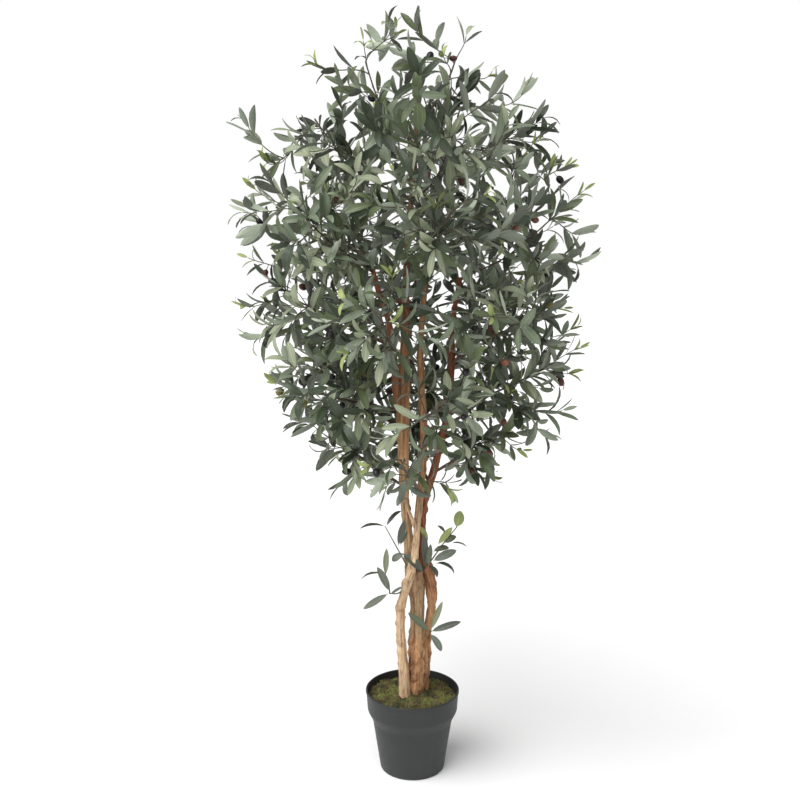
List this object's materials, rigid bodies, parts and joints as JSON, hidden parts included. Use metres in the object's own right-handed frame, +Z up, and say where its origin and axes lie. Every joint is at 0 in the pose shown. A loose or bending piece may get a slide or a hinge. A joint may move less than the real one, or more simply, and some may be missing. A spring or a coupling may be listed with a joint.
{
  "type": "artificial olive tree in a nursery pot",
  "caption": "Artificial olive tree: twisted bare wooden stems cast into a plain dark nursery pot under dyed moss, with thin boughs and a tall oval crown of narrow grey-green leaves.",
  "frame": {"origin": "centre of the pot's flat underside, on the floor", "axes": "+Z up the tree, -Y towards its front, +X to the right seen from the front"},
  "size_m": [0.707, 0.6512, 1.5],
  "materials": {
    "pot_plastic": "satin dark grey moulded plastic",
    "cast_fill": "rough cement",
    "dyed_moss": "dyed dried moss",
    "peeled_wood": "dry peeled bark",
    "wrapped_twig": "matt plastic wrapped on wire",
    "olive_leaf": "matt woven leaf cloth"
  },
  "bodies": {
    "root": {"bough_lower_a": "wrapped_twig", "bough_lower_b": "wrapped_twig", "bough_lower_c": "wrapped_twig", "bough_lower_d": "wrapped_twig", "bough_lower_e": "wrapped_twig", "bough_middle_a": "wrapped_twig", "bough_middle_b": "wrapped_twig", "bough_middle_c": "wrapped_twig", "bough_middle_d": "wrapped_twig", "bough_middle_e": "wrapped_twig", "bough_shoulder_a": "wrapped_twig", "bough_shoulder_b": "wrapped_twig", "bough_shoulder_c": "wrapped_twig", "bough_skirt_a": "wrapped_twig", "bough_skirt_b": "wrapped_twig", "bough_skirt_c": "wrapped_twig", "bough_skirt_d": "wrapped_twig", "bough_top_a": "wrapped_twig", "bough_top_b": "wrapped_twig", "bough_upper_a": "wrapped_twig", "bough_upper_b": "wrapped_twig", "bough_upper_c": "wrapped_twig", "bough_upper_d": "wrapped_twig", "bough_upper_e": "wrapped_twig", "foliage_lower_a": "olive_leaf", "foliage_lower_b": "olive_leaf", "foliage_lower_c": "olive_leaf", "foliage_lower_d": "olive_leaf", "foliage_lower_e": "olive_leaf", "foliage_middle_a": "olive_leaf", "foliage_middle_b": "olive_leaf", "foliage_middle_c": "olive_leaf", "foliage_middle_d": "olive_leaf", "foliage_middle_e": "olive_leaf", "foliage_shoulder_a": "olive_leaf", "foliage_shoulder_b": "olive_leaf", "foliage_shoulder_c": "olive_leaf", "foliage_skirt_a": "olive_leaf", "foliage_skirt_b": "olive_leaf", "foliage_skirt_c": "olive_leaf", "foliage_skirt_d": "olive_leaf", "foliage_top_a": "olive_leaf", "foliage_top_b": "olive_leaf", "foliage_upper_a": "olive_leaf", "foliage_upper_b": "olive_leaf", "foliage_upper_c": "olive_leaf", "foliage_upper_d": "olive_leaf", "foliage_upper_e": "olive_leaf", "fork_left": "peeled_wood", "moss": "dyed_moss", "pot": "pot_plastic", "pot_fill": "cast_fill", "shoot_left_high": "olive_leaf", "shoot_left_low": "olive_leaf", "shoot_right_high": "olive_leaf", "shoot_right_low": "olive_leaf", "stem_front": "peeled_wood", "stem_link": "peeled_wood", "stem_main": "peeled_wood", "stem_right": "peeled_wood"}
  },
  "joints": []
}
